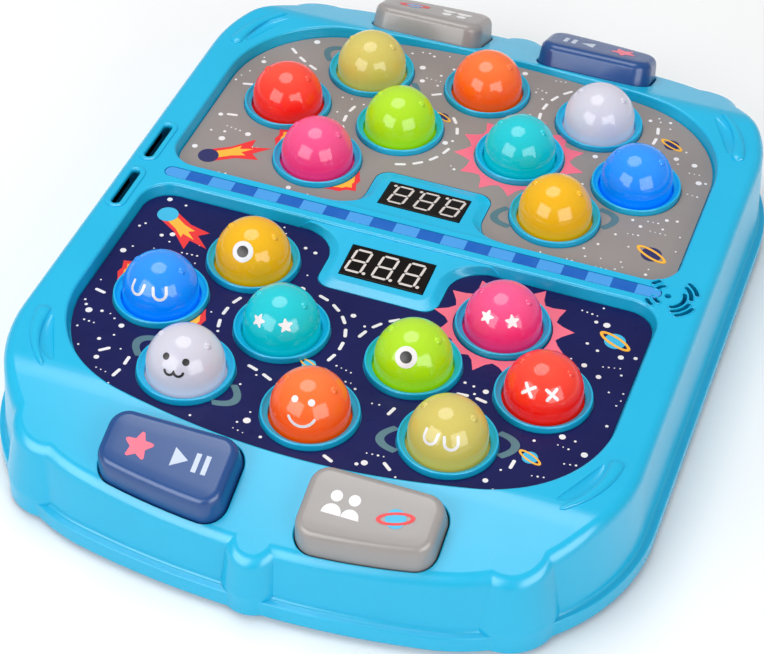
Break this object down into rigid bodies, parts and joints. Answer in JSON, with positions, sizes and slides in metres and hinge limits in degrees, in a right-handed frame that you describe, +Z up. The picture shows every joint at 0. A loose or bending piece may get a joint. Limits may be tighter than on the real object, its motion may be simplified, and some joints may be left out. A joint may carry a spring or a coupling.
{
  "type": "electronic bubble pop game",
  "caption": "Two-player electronic pop game: turquoise tray with lit press bubbles, score displays and push buttons facing each player.",
  "frame": {"origin": "centre of the outline, on the table", "axes": "+X along the divider bar towards the speaker, +Y from the near player to the far player, +Z up"},
  "size_m": [0.209, 0.2794, 0.0477],
  "materials": {
    "turquoise_shell": "satin moulded",
    "field_print_navy": "printed, satin",
    "field_print_grey": "printed, satin",
    "strip_print": "printed, satin",
    "display_window": "polished",
    "circuit_board": "solder resist",
    "silicone": "matte",
    "black_rubber": "matte",
    "black_plastic": "matte moulded",
    "steel": "plated",
    "cell_jacket": "printed sleeve",
    "button_blue": "satin moulded",
    "button_grey": "satin moulded",
    "bubble_yellow": "translucent, polished",
    "bubble_pink": "translucent, polished",
    "bubble_blue": "translucent, polished",
    "bubble_red": "translucent, polished",
    "bubble_teal": "translucent, polished",
    "bubble_lime": "translucent, polished",
    "bubble_white": "translucent, polished",
    "bubble_olive": "translucent, polished",
    "bubble_orange": "translucent, polished"
  },
  "bodies": {
    "case": {"upper_shell": "turquoise_shell", "base_cover": "turquoise_shell", "battery_cover": "turquoise_shell", "near_field_panel": "field_print_navy", "far_field_panel": "field_print_grey", "divider_strip": "strip_print", "near_display": "display_window", "far_display": "display_window", "near_board": "circuit_board", "far_board": "circuit_board", "near_button_board": "circuit_board", "far_button_board": "circuit_board", "near_key_mat": "silicone", "far_key_mat": "silicone", "near_button_mat": "silicone", "far_button_mat": "silicone", "speaker": "black_plastic", "battery_1": "cell_jacket", "battery_2": "cell_jacket", "battery_3": "cell_jacket", "battery_contact_left": "steel", "battery_contact_right": "steel", "battery_cover_screw": "steel", "foot_1": "black_rubber", "foot_2": "black_rubber", "foot_3": "black_rubber", "foot_4": "black_rubber", "case_screw_1": "steel", "case_screw_2": "steel", "case_screw_3": "steel", "case_screw_4": "steel"},
    "near_bubble_yellow_body": {"near_bubble_yellow": "bubble_yellow"},
    "near_bubble_pink_body": {"near_bubble_pink": "bubble_pink"},
    "near_bubble_blue_body": {"near_bubble_blue": "bubble_blue"},
    "near_bubble_red_body": {"near_bubble_red": "bubble_red"},
    "near_bubble_teal_body": {"near_bubble_teal": "bubble_teal"},
    "near_bubble_lime_body": {"near_bubble_lime": "bubble_lime"},
    "near_bubble_white_body": {"near_bubble_white": "bubble_white"},
    "near_bubble_olive_body": {"near_bubble_olive": "bubble_olive"},
    "near_bubble_orange_body": {"near_bubble_orange": "bubble_orange"},
    "far_bubble_yellow_body": {"far_bubble_yellow": "bubble_yellow"},
    "far_bubble_pink_body": {"far_bubble_pink": "bubble_pink"},
    "far_bubble_blue_body": {"far_bubble_blue": "bubble_blue"},
    "far_bubble_red_body": {"far_bubble_red": "bubble_red"},
    "far_bubble_teal_body": {"far_bubble_teal": "bubble_teal"},
    "far_bubble_lime_body": {"far_bubble_lime": "bubble_lime"},
    "far_bubble_white_body": {"far_bubble_white": "bubble_white"},
    "far_bubble_olive_body": {"far_bubble_olive": "bubble_olive"},
    "far_bubble_orange_body": {"far_bubble_orange": "bubble_orange"},
    "near_button_blue_body": {"near_button_blue": "button_blue"},
    "near_button_grey_body": {"near_button_grey": "button_grey"},
    "far_button_blue_body": {"far_button_blue": "button_blue"},
    "far_button_grey_body": {"far_button_grey": "button_grey"},
    "power_switch_body": {"power_switch": "black_plastic"}
  },
  "joints": [
    {"name": "near_bubble_yellow_press", "type": "slide", "parent": "case", "child": "near_bubble_yellow_body", "axis": [0, 0, -1], "range_m": [0, 0.003], "stiffness_N_per_m": 500, "springref_m": -0.0012, "deforming": ["near_key_mat"]},
    {"name": "near_bubble_pink_press", "type": "slide", "parent": "case", "child": "near_bubble_pink_body", "axis": [0, 0, -1], "range_m": [0, 0.003], "stiffness_N_per_m": 500, "springref_m": -0.0012, "deforming": ["near_key_mat"]},
    {"name": "near_bubble_blue_press", "type": "slide", "parent": "case", "child": "near_bubble_blue_body", "axis": [0, 0, -1], "range_m": [0, 0.003], "stiffness_N_per_m": 500, "springref_m": -0.0012, "deforming": ["near_key_mat"]},
    {"name": "near_bubble_red_press", "type": "slide", "parent": "case", "child": "near_bubble_red_body", "axis": [0, 0, -1], "range_m": [0, 0.003], "stiffness_N_per_m": 500, "springref_m": -0.0012, "deforming": ["near_key_mat"]},
    {"name": "near_bubble_teal_press", "type": "slide", "parent": "case", "child": "near_bubble_teal_body", "axis": [0, 0, -1], "range_m": [0, 0.003], "stiffness_N_per_m": 500, "springref_m": -0.0012, "deforming": ["near_key_mat"]},
    {"name": "near_bubble_lime_press", "type": "slide", "parent": "case", "child": "near_bubble_lime_body", "axis": [0, 0, -1], "range_m": [0, 0.003], "stiffness_N_per_m": 500, "springref_m": -0.0012, "deforming": ["near_key_mat"]},
    {"name": "near_bubble_white_press", "type": "slide", "parent": "case", "child": "near_bubble_white_body", "axis": [0, 0, -1], "range_m": [0, 0.003], "stiffness_N_per_m": 500, "springref_m": -0.0012, "deforming": ["near_key_mat"]},
    {"name": "near_bubble_olive_press", "type": "slide", "parent": "case", "child": "near_bubble_olive_body", "axis": [0, 0, -1], "range_m": [0, 0.003], "stiffness_N_per_m": 500, "springref_m": -0.0012, "deforming": ["near_key_mat"]},
    {"name": "near_bubble_orange_press", "type": "slide", "parent": "case", "child": "near_bubble_orange_body", "axis": [0, 0, -1], "range_m": [0, 0.003], "stiffness_N_per_m": 500, "springref_m": -0.0012, "deforming": ["near_key_mat"]},
    {"name": "far_bubble_yellow_press", "type": "slide", "parent": "case", "child": "far_bubble_yellow_body", "axis": [0, 0, -1], "range_m": [0, 0.003], "stiffness_N_per_m": 500, "springref_m": -0.0012, "deforming": ["far_key_mat"]},
    {"name": "far_bubble_pink_press", "type": "slide", "parent": "case", "child": "far_bubble_pink_body", "axis": [0, 0, -1], "range_m": [0, 0.003], "stiffness_N_per_m": 500, "springref_m": -0.0012, "deforming": ["far_key_mat"]},
    {"name": "far_bubble_blue_press", "type": "slide", "parent": "case", "child": "far_bubble_blue_body", "axis": [0, 0, -1], "range_m": [0, 0.003], "stiffness_N_per_m": 500, "springref_m": -0.0012, "deforming": ["far_key_mat"]},
    {"name": "far_bubble_red_press", "type": "slide", "parent": "case", "child": "far_bubble_red_body", "axis": [0, 0, -1], "range_m": [0, 0.003], "stiffness_N_per_m": 500, "springref_m": -0.0012, "deforming": ["far_key_mat"]},
    {"name": "far_bubble_teal_press", "type": "slide", "parent": "case", "child": "far_bubble_teal_body", "axis": [0, 0, -1], "range_m": [0, 0.003], "stiffness_N_per_m": 500, "springref_m": -0.0012, "deforming": ["far_key_mat"]},
    {"name": "far_bubble_lime_press", "type": "slide", "parent": "case", "child": "far_bubble_lime_body", "axis": [0, 0, -1], "range_m": [0, 0.003], "stiffness_N_per_m": 500, "springref_m": -0.0012, "deforming": ["far_key_mat"]},
    {"name": "far_bubble_white_press", "type": "slide", "parent": "case", "child": "far_bubble_white_body", "axis": [0, 0, -1], "range_m": [0, 0.003], "stiffness_N_per_m": 500, "springref_m": -0.0012, "deforming": ["far_key_mat"]},
    {"name": "far_bubble_olive_press", "type": "slide", "parent": "case", "child": "far_bubble_olive_body", "axis": [0, 0, -1], "range_m": [0, 0.003], "stiffness_N_per_m": 500, "springref_m": -0.0012, "deforming": ["far_key_mat"]},
    {"name": "far_bubble_orange_press", "type": "slide", "parent": "case", "child": "far_bubble_orange_body", "axis": [0, 0, -1], "range_m": [0, 0.003], "stiffness_N_per_m": 500, "springref_m": -0.0012, "deforming": ["far_key_mat"]},
    {"name": "near_button_blue_press", "type": "slide", "parent": "case", "child": "near_button_blue_body", "axis": [0, 0.3714, -0.9285], "range_m": [0, 0.002], "stiffness_N_per_m": 700, "springref_m": -0.0012, "deforming": ["near_button_mat"]},
    {"name": "near_button_grey_press", "type": "slide", "parent": "case", "child": "near_button_grey_body", "axis": [0, 0.3714, -0.9285], "range_m": [0, 0.002], "stiffness_N_per_m": 700, "springref_m": -0.0012, "deforming": ["near_button_mat"]},
    {"name": "far_button_blue_press", "type": "slide", "parent": "case", "child": "far_button_blue_body", "axis": [0, -0.3714, -0.9285], "range_m": [0, 0.002], "stiffness_N_per_m": 700, "springref_m": -0.0012, "deforming": ["far_button_mat"]},
    {"name": "far_button_grey_press", "type": "slide", "parent": "case", "child": "far_button_grey_body", "axis": [0, -0.3714, -0.9285], "range_m": [0, 0.002], "stiffness_N_per_m": 700, "springref_m": -0.0012, "deforming": ["far_button_mat"]},
    {"name": "power_switch_slide", "type": "slide", "parent": "case", "child": "power_switch_body", "axis": [1, 0, 0], "range_m": [0, 0.004]}
  ]
}
